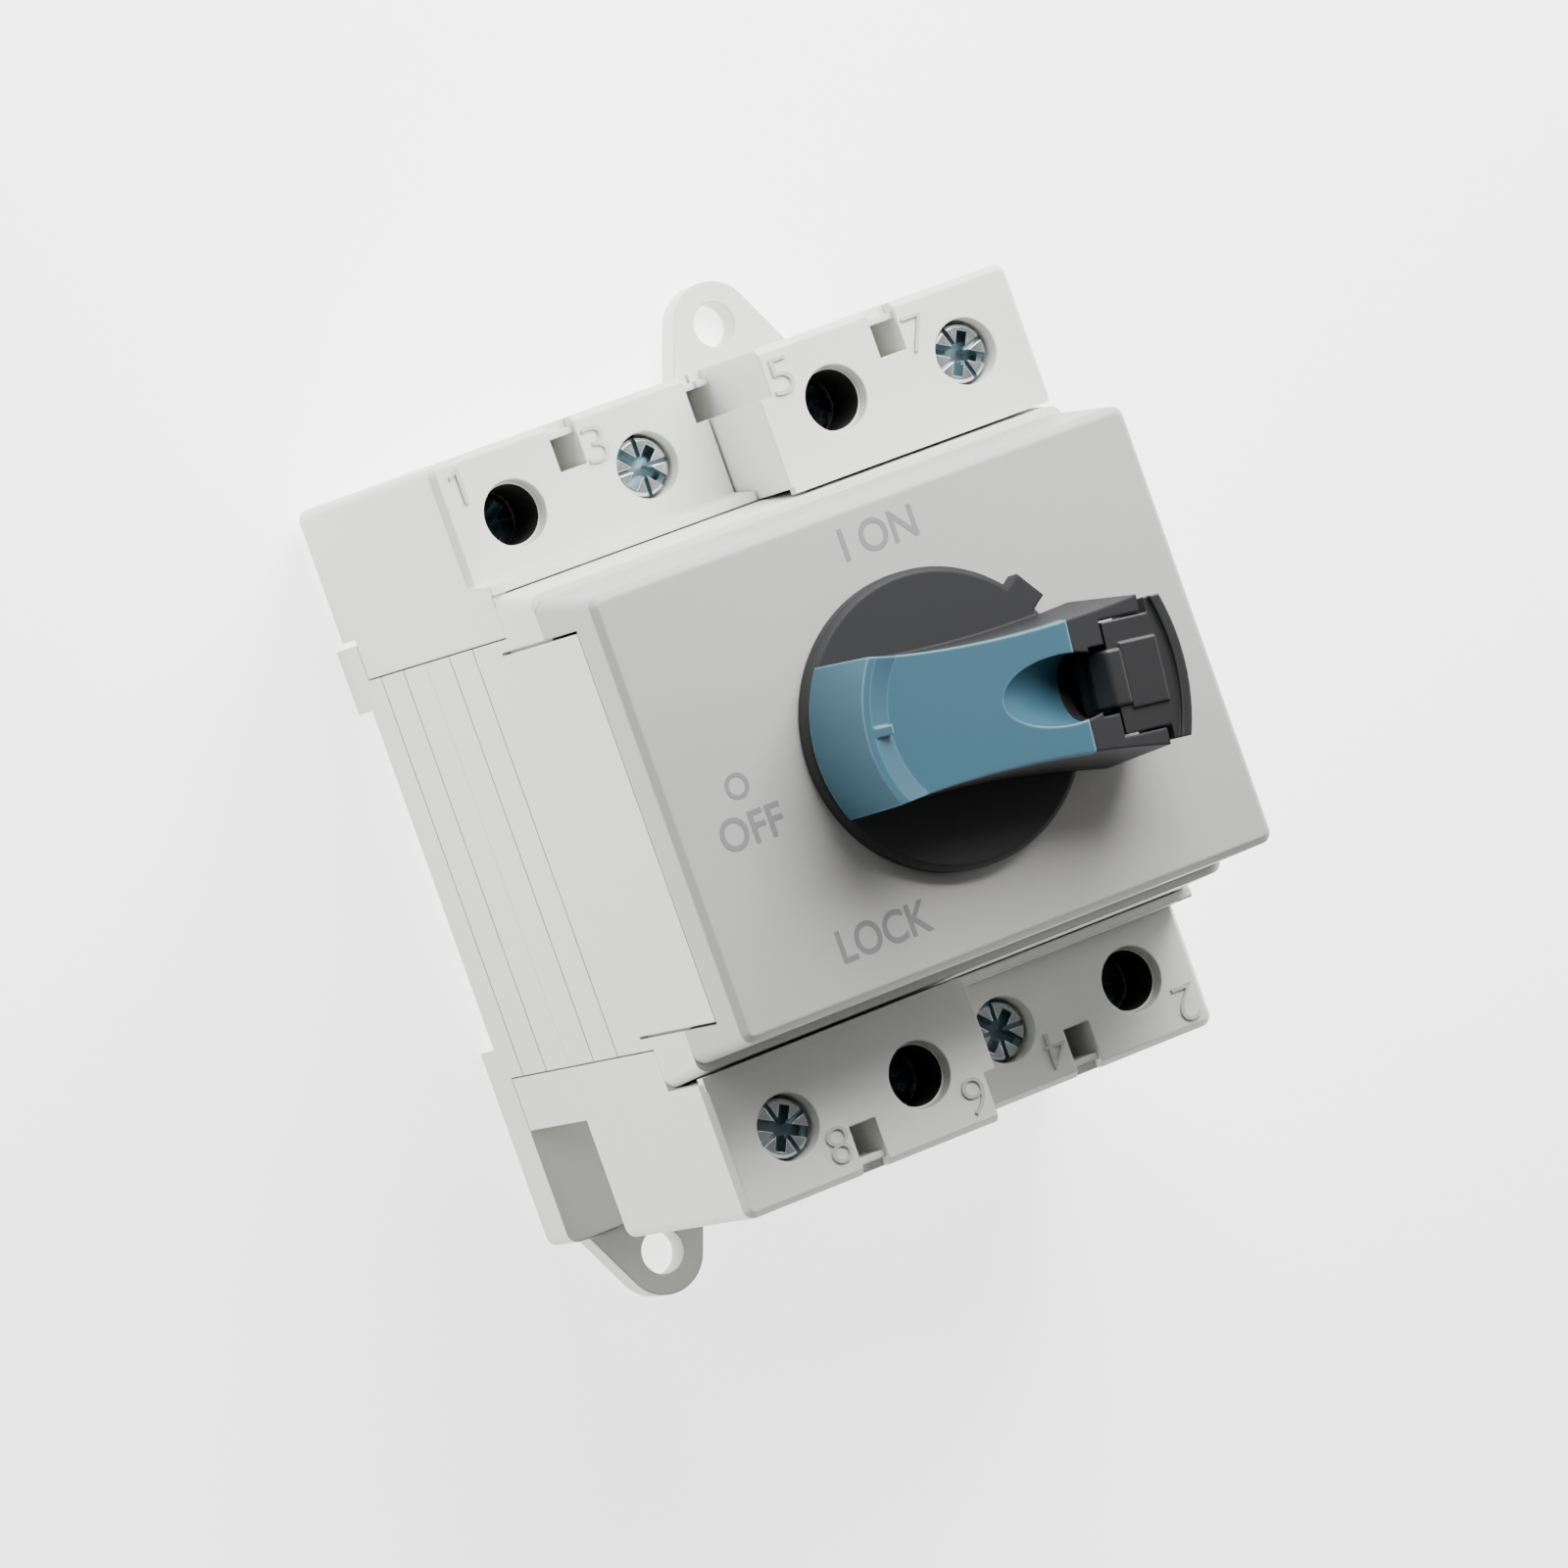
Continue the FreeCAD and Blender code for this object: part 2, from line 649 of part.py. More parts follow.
def low_block():
    face = face_z(1)
    right = -SEAM_GAP
    body = box(-HALF_WIDTH, right, BLOCK_START, HALF_LENGTH, LOW_BLOCK_REAR, face)
    body = rounded(body, CORNER_RADIUS, lambda size: is_upright(size) and is_outer_corner(size, -1))
    body = bevelled(body, EDGE_BEVEL, lambda size: is_level_at(size, face) and size.YMin > TERMINAL_Y)
    ledge_foot = BLOCK_START + LEDGE_WIDTH + LEDGE_DRAFT
    profile = [(BLOCK_START, face - OVERCUT), (ledge_foot, face - OVERCUT), (ledge_foot, face),
               (BLOCK_START + LEDGE_WIDTH, LEDGE_TOP), (BLOCK_START, LEDGE_TOP)]
    ledge = length_prism(profile, -HALF_WIDTH, right)
    cheek = box(-HALF_WIDTH, -CHEEK_X, CHEEK_END, BLOCK_START + OVERCUT, CHEEK_REAR, FLANGE_START)
    tools = clamp_space(0) + clamp_space(1)
    middle = INNER_TERMINAL + TERMINAL_PITCH / 2
    tools += [notch(-middle, face), notch(0, face)]
    return cut(fuse([body, ledge, cheek]), tools)


def is_outer_corner(size, side):
    return side * size.XMin > CHEEK_X and size.YMin > TERMINAL_Y


def length_prism(points, x0, x1):
    corners = [V(x0, y, z) for y, z in points]
    wire = Part.makePolygon(corners + corners[:1])
    return Part.Face(wire).extrude(V(x1 - x0, 0, 0))


def high_block():
    face = face_z(3)
    rear = face - BLOCK_DEPTH
    left = SEAM_GAP
    body = box(left, HALF_WIDTH, BLOCK_START, HALF_LENGTH, rear, face)
    body = rounded(body, CORNER_RADIUS, lambda size: is_upright(size) and is_outer_corner(size, 1))
    body = bevelled(body, EDGE_BEVEL, lambda size: is_level_at(size, face) and size.YMin > TERMINAL_Y)
    back = box(left, HALF_WIDTH, BLOCK_START, BLOCK_START + BLOCK_BACK_WALL, CHEEK_REAR, rear + OVERCUT)
    cheek = box(CHEEK_X, HALF_WIDTH, CHEEK_END, BLOCK_START + OVERCUT, CHEEK_REAR, FLANGE_START)
    tools = clamp_space(2) + clamp_space(3)
    middle = INNER_TERMINAL + TERMINAL_PITCH / 2
    tools += [notch(middle, face), notch(0, face_z(1))]
    return cut(fuse([body, back, cheek]), tools)


def clamp_cage(pole):
    x = pole_x(pole)
    level = clamp_z(pole)
    half_x = CAGE_WIDTH / 2
    half_y = CAGE_LENGTH / 2
    ceiling = level + CAGE_CEILING
    floor = ceiling - CAGE_WINDOW
    block = box(x - half_x, x + half_x, TERMINAL_Y - half_y, TERMINAL_Y + half_y,
                floor - CAGE_FLOOR, ceiling + CAGE_TOP)
    inner = half_x - CAGE_WALL
    window = box(x - inner, x + inner, TERMINAL_Y - CAGE_LENGTH, TERMINAL_Y + CAGE_LENGTH, floor, ceiling)
    thread = facetted_way(x, TERMINAL_Y, ceiling - OVERCUT, ceiling + CAGE_TOP + OVERCUT,
                          SCREW_RADIUS + THREAD_CLEARANCE)
    return cut(block, [window, thread])


def terminal_screw(pole):
    x = pole_x(pole)
    level = clamp_z(pole)
    seat = level + SHELF_TOP + SEAM_GAP
    top = seat + SCREW_HEAD_HEIGHT
    shank = facetted(x, TERMINAL_Y, level + STRIP_HALF + SEAM_GAP, seat + OVERCUT, SCREW_RADIUS)
    head = cylinder(x, TERMINAL_Y, seat, top, SCREW_HEAD_RADIUS)
    half = SCREW_SLOT / 2
    end = SCREW_HEAD_RADIUS + OVERCUT
    slot = box(-end, end, -half, half, top - SCREW_SLOT_DEPTH, top + OVERCUT)
    slot.rotate(ORIGIN, AXIS_Z, FIRST_SCREW_TURN + SCREW_TURN_STEP * pole)
    slot.translate(V(x, TERMINAL_Y, 0))
    return cut(fuse([head, shank]), [slot])


# Snap mechanism and its housing

def panel_slots():
    side = HALF_WIDTH - SLOT_DEPTH
    slot = box(side, HALF_WIDTH + OVERCUT, PANEL_HALF, PANEL_HALF + PANEL_SLOT,
               FLANGE_START - SLOT_DROP, COVER_START + OVERCUT)
    other = slot.mirror(ORIGIN, AXIS_Y)
    return [slot, other, half_turn(slot), half_turn(other)]


def spring_rib():
    start = spring_back() + SPRING_BOW
    rib = box(start, CAVITY_HALF_X + OVERCUT, SPRING_HALF - SPRING_RIB_HALF, SPRING_HALF + SPRING_RIB_HALF,
              STACK_TOP + HOUSING_FLOOR / 2, STAR_START + STAR_HEIGHT)
    return [rib, rib.mirror(ORIGIN, AXIS_Y)]


def spring_back():
    return STAR_RADIUS + 2 * ROLLER_RADIUS + 2 * ROLLER_CLEARANCE + SPRING_LEAF


def mechanism_housing():
    lower = deck_outline(STACK_TOP, FLANGE_START)
    flange = drafted_block(HALF_WIDTH, STACK_END, FLANGE_START, HALF_WIDTH,
                           STACK_END - FLANGE_DRAFT, COVER_START, CORNER_RADIUS)
    panel = box(HALF_WIDTH - PANEL_WALL, HALF_WIDTH, -PANEL_HALF, PANEL_HALF,
                COVER_START - OVERCUT, PANEL_TOP)
    body = fuse([lower, flange, panel, half_turn(panel)])
    cavity = box(-CAVITY_HALF_X, CAVITY_HALF_X, -CAVITY_HALF_Y, CAVITY_HALF_Y,
                 STACK_TOP + HOUSING_FLOOR, COVER_START + OVERCUT)
    shaft_way = facetted_way(0, 0, STACK_TOP - OVERCUT, STACK_TOP + HOUSING_FLOOR + OVERCUT, SHAFT_WAY_RADIUS)
    tools = [cavity, shaft_way] + bolt_ways(STACK_TOP - OVERCUT, BOLT_END) + panel_slots()
    body = cut(body, tools + side_groove(STACK_TOP, STACK_TOP + SEAM_GROOVE, SEAM_GROOVE))
    ribs = spring_rib()
    return fuse([body] + ribs + [half_turn(rib) for rib in ribs])


def index_star():
    top = STAR_START + STAR_HEIGHT
    disc = facetted(0, 0, STAR_START, top, STAR_RADIUS, STAR_SIDES)
    bore = square_bar(SHAFT_SIDE + 2 * SHAFT_FIT, STAR_START - OVERCUT, top + OVERCUT)
    bore.rotate(ORIGIN, AXIS_Z, HANDLE_REST)
    foot = STAR_RADIUS - NOTCH_SINK
    rim_x = STAR_RADIUS + OVERCUT
    mouth = NOTCH_FLAT + rim_x - foot
    seat = prism([(foot, -NOTCH_FLAT), (rim_x, -mouth), (rim_x, mouth), (foot, NOTCH_FLAT)],
                 STAR_START - OVERCUT, top + OVERCUT)
    turns = (ON_TURN, -HANDLE_REST, LOCK_TURN)
    seats = [turned_about_z(seat, side - turn) for side in (0, 180) for turn in turns]
    return cut(disc, [bore] + seats)


def index_roller():
    x = STAR_RADIUS + ROLLER_RADIUS + ROLLER_CLEARANCE
    return cylinder(x, 0, STAR_START, STAR_START + STAR_HEIGHT, ROLLER_RADIUS)


def leaf_spring():
    crown = spring_back() - SPRING_LEAF
    bow = SPRING_BOW - SHAFT_FIT
    spread = [step / SPRING_STEPS for step in range(-SPRING_STEPS, SPRING_STEPS + 1)]
    inner = [(crown + bow * part ** 2, SPRING_HALF * part) for part in spread]
    outer = [(x + SPRING_LEAF, y) for x, y in inner]
    return prism(inner + outer[::-1], STAR_START, STAR_START + STAR_HEIGHT)


# Front cover

def cover_form(inset, z0, z1):
    half_y = FRONT_HEIGHT / 2 - inset
    skirt = half_y + COVER_FLARE
    profile = [(-skirt, z0), (skirt, z0), (half_y, z1), (-half_y, z1)]
    return length_prism(profile, inset - HALF_WIDTH, HALF_WIDTH - inset)


def front_cover():
    wall = COVER_WALL
    shell = cover_form(0, COVER_START, FRONT_Z)
    shell = rounded(shell, CORNER_RADIUS, lambda size: size.ZLength > COVER_HEIGHT / 2)
    shell = bevelled(shell, EDGE_BEVEL, lambda size: is_level_at(size, FRONT_Z))
    inside = cover_form(wall, COVER_START - FINE_OVERCUT, FRONT_Z - wall)
    window_half = PANEL_HALF + PANEL_SLOT
    window = box(HALF_WIDTH - wall - WINDOW_DEPTH, HALF_WIDTH + OVERCUT, -window_half, window_half,
                 COVER_START - OVERCUT, PANEL_TOP + SEAM_GAP)
    bore = cylinder(0, 0, COVER_START, FRONT_Z + OVERCUT, NECK_RADIUS + NECK_CLEARANCE)
    return cut(shell, [inside, window, half_turn(window), bore])


# Handle: grip, cap, lock tab and screw, drawn with the pointer towards -X

def grip_outline(end_radius, end_half, waist_half, tail_x, tail_half, z):
    nose_x = -math.sqrt(end_radius ** 2 - end_half ** 2)
    nose = [V(nose_x, end_half, z), V(-end_radius, 0, z), V(nose_x, -end_half, z)]
    tail = [V(tail_x, -tail_half, z), V(tail_x, tail_half, z)]
    edges = [Part.Arc(*nose).toShape(),
             Part.Arc(nose[2], V(GRIP_WAIST_X, -waist_half, z), tail[0]).toShape(),
             Part.LineSegment(tail[0], tail[1]).toShape(),
             Part.Arc(tail[1], V(GRIP_WAIST_X, waist_half, z), nose[0]).toShape()]
    return Part.Wire(edges)


def grip_form():
    foot = grip_outline(FOOT_END_RADIUS, FOOT_NOSE_HALF, FOOT_WAIST_HALF, FOOT_TAIL_X, FOOT_TAIL_HALF,
                        DISC_TOP)
    head = grip_outline(HEAD_END_RADIUS, HEAD_NOSE_HALF, HEAD_WAIST_HALF, HEAD_TAIL_X, HEAD_TAIL_HALF,
                        RIDGE_TOP)
    form = Part.makeLoft([foot, head], True, True)
    over = RIDGE_TOP + OVERCUT
    dish = [V(0, 0, GRIP_TOP), V(RIDGE_FOOT, 0, GRIP_TOP), V(RIDGE_CREST, 0, RIDGE_TOP),
            V(RIDGE_CREST, 0, over), V(0, 0, over)]
    bowl = Part.Face(Part.makePolygon(dish + dish[:1])).revolve(ORIGIN, AXIS_Z, 360)
    flat = box(-RIDGE_FOOT / 2, TAB_REACH + OVERCUT, -DISC_RADIUS, DISC_RADIUS, GRIP_TOP, over)
    return form.cut([bowl, flat])


def scoop():
    slope = math.radians(SCOOP_ANGLE)
    direction = V(math.cos(slope), 0, -math.sin(slope))
    start = V(SCOOP_CENTRE, 0, GRIP_TOP) + direction * (SCOOP_AFTER - SCOOP_LENGTH)
    return cylinder_along(start, direction, SCOOP_LENGTH, SCOOP_RADIUS)


def cap_blank():
    top = RIDGE_TOP + OVERCUT
    under = GRIP_TOP - CAP_WALL
    plate = box(-DISC_RADIUS, CAP_LENGTH, -DISC_RADIUS, DISC_RADIUS, under, top)
    nose = box(-DISC_RADIUS, -RIDGE_FOOT / 2, -DISC_RADIUS, DISC_RADIUS, DISC_TOP, top)
    nose = nose.cut(cylinder(0, 0, DISC_TOP - OVERCUT, top, CAP_END_RADIUS))
    drop = (CAP_LENGTH - TROUGH_START) * math.tan(math.radians(SCOOP_ANGLE))
    lip = under + TROUGH_LIP
    profile = [(TROUGH_START, lip), (TROUGH_START, under), (CAP_LENGTH, under - drop), (CAP_LENGTH, lip)]
    trough = side_prism(profile, SCOOP_RADIUS + TROUGH_WALL)
    return grip_form().common(fuse([plate, nose, trough]))


def handle_cap():
    side = TICK_WIDTH / 2
    tick = box(-RIDGE_CREST - TICK_REACH, -RIDGE_FOOT - TICK_BACK, -side, side,
               GRIP_TOP - TICK_REACH, RIDGE_TOP)
    cap = fuse([cap_blank().cut(scoop()), tick])
    return turned_about_z(cap, HANDLE_REST)


def handle_screw_shank(margin):
    return facetted(0, 0, SHAFT_TOP - HANDLE_SCREW_DEPTH, SCREW_SEAT + OVERCUT / 2, BOLT_RADIUS + margin)


def hex_head(x, y, z0, z1):
    return facetted(x, y, z0, z1, BOLT_HEAD_RADIUS, 6)


def handle_screw():
    head = hex_head(0, 0, SCREW_SEAT, SCREW_SEAT + HANDLE_SCREW_HEAD)
    return turned_about_z(fuse([handle_screw_shank(0), head]), HANDLE_REST)


def tab_space():
    half = TAB_HALF + TAB_GAP
    floor = TAB_BOTTOM - SEAM_GAP
    over = RIDGE_TOP + OVERCUT
    room = box(TAB_START - TAB_GAP, TAB_REACH + TAB_ROOM, -half, half, floor, over)
    finger_start = TAB_START - TAB_NOSE_REACH - 2 * TAB_GAP
    finger = box(finger_start, TAB_START, -SCOOP_RADIUS, SCOOP_RADIUS, floor, over)
    tongue = TONGUE_HALF + TAB_GAP
    groove = box(TONGUE_START - TAB_GAP, TAB_START, -tongue, tongue, floor,
                 TAB_BOTTOM + TONGUE_THICKNESS + SEAM_GAP)
    return [room, finger, groove]


def handle_grip():
    disc = cylinder(0, 0, FRONT_Z + DISC_GAP, DISC_TOP, DISC_RADIUS)
    disc = bevelled(disc, DISC_BEVEL, lambda size: is_level_at(size, DISC_TOP))
    neck = cylinder(0, 0, NECK_END, DISC_TOP, NECK_RADIUS)
    lug = box(DISC_RADIUS - LUG_ROOT, LUG_REACH, -LUG_WIDTH / 2, LUG_WIDTH / 2, FRONT_Z + DISC_GAP, DISC_TOP)
    lug.rotate(ORIGIN, AXIS_Z, LUG_ANGLE)
    body = fuse([disc, neck, lug, grip_form()])
    bore = square_bar(SHAFT_SIDE + 2 * SHAFT_FIT, NECK_END - OVERCUT, SHAFT_TOP + SHAFT_FIT)
    shank = handle_screw_shank(BOLT_CLEARANCE)
    well = facetted_way(0, 0, SCREW_SEAT, GRIP_TOP - CAP_WALL, BOLT_HEAD_RADIUS + BOLT_CLEARANCE)
    tools = [cap_blank(), scoop(), bore, shank, well] + tab_space()
    return turned_about_z(cut(body, tools), HANDLE_REST)


def tab_nose():
    root = TAB_START + OVERCUT
    tip = TAB_START - TAB_NOSE_REACH
    profile = [(root, TAB_TOP - TAB_STEP), (tip, TAB_TOP - TAB_NOSE_DROP),
               (tip, TAB_BOTTOM), (root, TAB_BOTTOM)]
    return side_prism(profile, SCOOP_RADIUS - TAB_GAP)


def tab_body():
    end = TAB_REACH + OVERCUT
    middle = box(TAB_START, end, -TAB_HALF, TAB_HALF, TAB_BOTTOM, TAB_TOP)
    wings = box(TAB_WING_START, end, -TAB_WING_HALF, TAB_WING_HALF, TAB_BOTTOM + TAB_STEP, TAB_TOP)
    tongue = box(TONGUE_START, TAB_START + OVERCUT, -TONGUE_HALF, TONGUE_HALF, TAB_BOTTOM,
                 TAB_BOTTOM + TONGUE_THICKNESS)
    round_end = cylinder(0, 0, TAB_BOTTOM - OVERCUT, TAB_TOP + OVERCUT, TAB_REACH)
    return fuse([middle, wings, tab_nose(), tongue]).common(round_end)


def lock_tab():
    step = cylinder(0, 0, TAB_TOP - TAB_STEP_DROP, TAB_TOP + OVERCUT, TAB_REACH - TAB_STEP)
    shackle_start = V(SHACKLE_X, -TAB_REACH, SHACKLE_Z)
    shackle = cylinder_along(shackle_start, AXIS_Y, 2 * TAB_REACH, SHACKLE_RADIUS)
    start = TAB_START + PLATE_INSET
    plate = box(start, start + PLATE_LENGTH, -PLATE_HALF, PLATE_HALF, TAB_TOP - TAB_STEP,
                TAB_TOP - PLATE_DROP)
    return turned_about_z(fuse([cut(tab_body(), [step, shackle]), plate]), HANDLE_REST)


# Rail clips with their screw ears

def tangent_point(corner, side):
    dx = CLIP_X - corner[0]
    dy = CLIP_HOLE_Y - corner[1]
    distance = math.hypot(dx, dy)
    bearing = math.atan2(-dy, -dx) + side * math.acos(EAR_RADIUS / distance)
    return (CLIP_X + EAR_RADIUS * math.cos(bearing), CLIP_HOLE_Y + EAR_RADIUS * math.sin(bearing))


def rail_clip():
    shoulder = FLANGE_END + EAR_GAP
    inner = (CLIP_X - EAR_SHOULDER_IN, shoulder)
    outer = (CLIP_X + EAR_SHOULDER_OUT, shoulder)
    flank_in = tangent_point(inner, -1)
    flank_out = tangent_point(outer, 1)
    ear = fuse([prism([inner, outer, flank_out, flank_in], 0, EAR_THICKNESS),
                cylinder(CLIP_X, CLIP_HOLE_Y, 0, EAR_THICKNESS, EAR_RADIUS)])
    stem = box(CLIP_X - CLIP_STEM_HALF, CLIP_X + CLIP_STEM_HALF, RAIL_SLOT / 2, shoulder + OVERCUT,
               0, EAR_THICKNESS)
    root = RAIL_SLOT / 2 + OVERCUT
    hook_profile = [(CLIP_HOOK, 0), (root, 0), (root, CLIP_HOOK_TOP),
                    (CLIP_HOOK + CLIP_HOOK_SLOPE, CLIP_HOOK_TOP),
                    (CLIP_HOOK, CLIP_HOOK_TOP - CLIP_HOOK_SLOPE)]
    hook = length_prism(hook_profile, CLIP_X - CLIP_STEM_HALF, CLIP_X + CLIP_STEM_HALF)
    wings = box(CLIP_X - CLIP_WING_HALF, CLIP_X + CLIP_WING_HALF, CLIP_WING_START, CLIP_WING_END,
                CLIP_WING_BOTTOM, EAR_THICKNESS)
    hole = cylinder(CLIP_X, CLIP_HOLE_Y, -OVERCUT, EAR_THICKNESS + OVERCUT, CLIP_HOLE_RADIUS)
    return cut(fuse([ear, stem, hook, wings]), [hole])


def assembly_screws():
    screws = []
    seat = RAIL_DEPTH + BOLT_HEAD_SINK
    for x, y in bolt_places():
        head = hex_head(x, y, seat, seat + BOLT_HEAD_HEIGHT)
        shank = facetted(x, y, seat + BOLT_HEAD_HEIGHT / 2, BOLT_END - BOLT_REACH, BOLT_RADIUS)
        screws.append(fuse([head, shank]))
    return Part.makeCompound(screws)


def build():
    os.makedirs("parts", exist_ok=True)
    save("base_plate", base_plate())
    for pole in range(POLES):
        save("pole_deck_%d" % (pole + 1), pole_deck(pole))
        save("rotor_%d" % (pole + 1), rotor(pole))
        save("moving_contact_%d" % (pole + 1), moving_contact(pole))
        odd = 2 * pole + 1
        for number, place in ((odd, lambda s: s), (odd + 1, half_turn)):
            save("fixed_contact_%d" % number, place(fixed_contact(pole)))
            save("clamp_cage_%d" % number, place(clamp_cage(pole)))
            save("terminal_screw_%d" % number, place(terminal_screw(pole)))
    save("terminal_block_1_3", low_block())
    save("terminal_block_5_7", high_block())
    save("terminal_block_2_4", half_turn(low_block()))
    save("terminal_block_6_8", half_turn(high_block()))
    save("mechanism_housing", mechanism_housing())
    save("front_cover", front_cover())
    save("drive_shaft", drive_shaft())
    save("index_star", index_star())
    save("index_roller_right", index_roller())
    save("index_roller_left", half_turn(index_roller()))
    save("index_spring_right", leaf_spring())
    save("index_spring_left", half_turn(leaf_spring()))
    save("handle_grip", handle_grip())
    save("handle_cap", handle_cap())
    save("handle_screw", handle_screw())
    save("lock_tab", lock_tab())
    save("rail_clip_top", rail_clip())
    save("rail_clip_bottom", half_turn(rail_clip()))
    save("assembly_screws", assembly_screws())


build()
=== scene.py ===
import json
import math
import bmesh
import bpy
from mathutils import Matrix, Vector


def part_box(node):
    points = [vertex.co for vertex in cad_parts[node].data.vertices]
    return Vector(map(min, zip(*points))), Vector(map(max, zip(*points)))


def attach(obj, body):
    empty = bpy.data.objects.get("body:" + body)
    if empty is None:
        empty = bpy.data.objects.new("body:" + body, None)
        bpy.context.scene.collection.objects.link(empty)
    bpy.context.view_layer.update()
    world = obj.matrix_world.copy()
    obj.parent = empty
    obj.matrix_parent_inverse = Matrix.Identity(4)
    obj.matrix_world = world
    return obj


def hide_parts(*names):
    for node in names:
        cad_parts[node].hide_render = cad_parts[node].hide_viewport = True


MM = 0.001
SAME_POINT = 1e-7

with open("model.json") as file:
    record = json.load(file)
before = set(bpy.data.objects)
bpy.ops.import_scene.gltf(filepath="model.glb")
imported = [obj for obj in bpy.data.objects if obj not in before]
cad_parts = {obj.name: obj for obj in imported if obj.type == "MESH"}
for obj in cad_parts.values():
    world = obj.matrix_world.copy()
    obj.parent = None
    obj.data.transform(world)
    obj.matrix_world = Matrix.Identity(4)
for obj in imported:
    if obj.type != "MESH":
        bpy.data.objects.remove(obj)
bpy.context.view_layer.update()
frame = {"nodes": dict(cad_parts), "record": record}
record = frame["record"]


# Materials

FINE_NOISE = (2600, 3)
BROAD_NOISE = (45, 4)
METAL_NOISE = (900, 5)
BEVEL_SAMPLES = 6
PLASTIC_IOR = 1.48
PLASTIC_GRAIN = 0.02
METAL_GRAIN = 0.01
ROUGHNESS_LOW = 0.75
ROUGHNESS_HIGH = 1.3
EDGE_STARTS = 0.995
EDGE_ENDS = 0.90


def shader(name):
    material = bpy.data.materials.new(name)
    material.use_nodes = True
    tree = material.node_tree
    return material, tree, tree.nodes["Principled BSDF"]


def noise(tree, size):
    scale, detail = size
    place = tree.nodes.new("ShaderNodeTexCoord")
    texture = tree.nodes.new("ShaderNodeTexNoise")
    texture.inputs["Scale"].default_value = scale
    texture.inputs["Detail"].default_value = detail
    tree.links.new(place.outputs["Object"], texture.inputs["Vector"])
    return texture


def rounded_grain(tree, surface, grain, strength, distance, radius):
    rounding = tree.nodes.new("ShaderNodeBevel")
    rounding.samples = BEVEL_SAMPLES
    rounding.inputs["Radius"].default_value = radius * MM
    bump = tree.nodes.new("ShaderNodeBump")
    bump.inputs["Strength"].default_value = strength
    bump.inputs["Distance"].default_value = distance * MM
    tree.links.new(grain.outputs["Fac"], bump.inputs["Height"])
    tree.links.new(rounding.outputs["Normal"], bump.inputs["Normal"])
    tree.links.new(bump.outputs["Normal"], surface.inputs["Normal"])
    return rounding


# Painted highlight: lighter colour where the rounded normal leaves the flat one, along the rounded
# edges

def edge_tint(tree, rounding, base, highlight):
    flat = tree.nodes.new("ShaderNodeNewGeometry")
    likeness = tree.nodes.new("ShaderNodeVectorMath")
    likeness.operation = "DOT_PRODUCT"
    tree.links.new(rounding.outputs["Normal"], likeness.inputs[0])
    tree.links.new(flat.outputs["Normal"], likeness.inputs[1])
    spread = tree.nodes.new("ShaderNodeMapRange")
    spread.inputs["From Min"].default_value = EDGE_STARTS
    spread.inputs["From Max"].default_value = EDGE_ENDS
    tree.links.new(likeness.outputs["Value"], spread.inputs["Value"])
    mix = tree.nodes.new("ShaderNodeMixRGB")
    mix.inputs["Color2"].default_value = (*highlight, 1)
    tree.links.new(spread.outputs["Result"], mix.inputs["Fac"])
    tree.links.new(base.outputs["Color"], mix.inputs["Color1"])
    return mix


def moulded(name, colour, roughness, grain=0.25, edge=0.3, mottle=0.03, shine=0.5, highlight=None):
    material, tree, surface = shader(name)
    tint = tree.nodes.new("ShaderNodeMixRGB")
    tint.inputs["Color1"].default_value = (*[c * (1 - mottle) for c in colour], 1)
    tint.inputs["Color2"].default_value = (*[min(1, c * (1 + mottle)) for c in colour], 1)
    tree.links.new(noise(tree, BROAD_NOISE).outputs["Fac"], tint.inputs["Fac"])
    surface.inputs["Roughness"].default_value = roughness
    surface.inputs["IOR"].default_value = PLASTIC_IOR
    surface.inputs["Specular IOR Level"].default_value = shine
    rounding = rounded_grain(tree, surface, noise(tree, FINE_NOISE), grain, PLASTIC_GRAIN, edge)
    if highlight:
        tint = edge_tint(tree, rounding, tint, highlight)
    tree.links.new(tint.outputs["Color"], surface.inputs["Base Color"])
    return material


def metal(name, colour, roughness, scratch=0.4, edge=0.12):
    material, tree, surface = shader(name)
    grain = noise(tree, METAL_NOISE)
    spread = tree.nodes.new("ShaderNodeMapRange")
    spread.inputs["To Min"].default_value = roughness * ROUGHNESS_LOW
    spread.inputs["To Max"].default_value = roughness * ROUGHNESS_HIGH
    tree.links.new(grain.outputs["Fac"], spread.inputs["Value"])
    tree.links.new(spread.outputs["Result"], surface.inputs["Roughness"])
    surface.inputs["Base Color"].default_value = (*colour, 1)
    surface.inputs["Metallic"].default_value = 1
    rounded_grain(tree, surface, grain, scratch, METAL_GRAIN, edge)
    return material


# Painted highlight colours for the rounded edges of the cap and the lock tab
CAP_EDGE_HIGHLIGHT = (0.13, 0.26, 0.33)
TAB_EDGE_HIGHLIGHT = (0.035, 0.035, 0.037)

finish = {
    "housing_white": moulded("housing_white", (0.69, 0.70, 0.67), 0.48),
    "terminal_white": moulded("terminal_white", (0.70, 0.71, 0.68), 0.48),
    "front_grey": moulded("front_grey", (0.40, 0.396, 0.388), 0.5, grain=0.35, edge=0.5),
    "handle_dark": moulded("handle_dark", (0.015, 0.015, 0.017), 0.55, edge=0.35, shine=0.3),
    "cap_blue": moulded("cap_blue", (0.036, 0.097, 0.136), 0.4, edge=0.4, shine=0.25, highlight=CAP_EDGE_HIGHLIGHT),
    "lock_tab_grey": moulded("lock_tab_grey", (0.016, 0.016, 0.017), 0.36, edge=0.3, highlight=TAB_EDGE_HIGHLIGHT),
    "contact_metal": metal("contact_metal", (0.80, 0.60, 0.36), 0.35),
    "zinc_steel": metal("zinc_steel", (0.78, 0.82, 0.84), 0.22),
    "mechanism_steel": metal("mechanism_steel", (0.45, 0.46, 0.48), 0.35),
    "rotor_plastic": moulded("rotor_plastic", (0.10, 0.035, 0.022), 0.5),
}
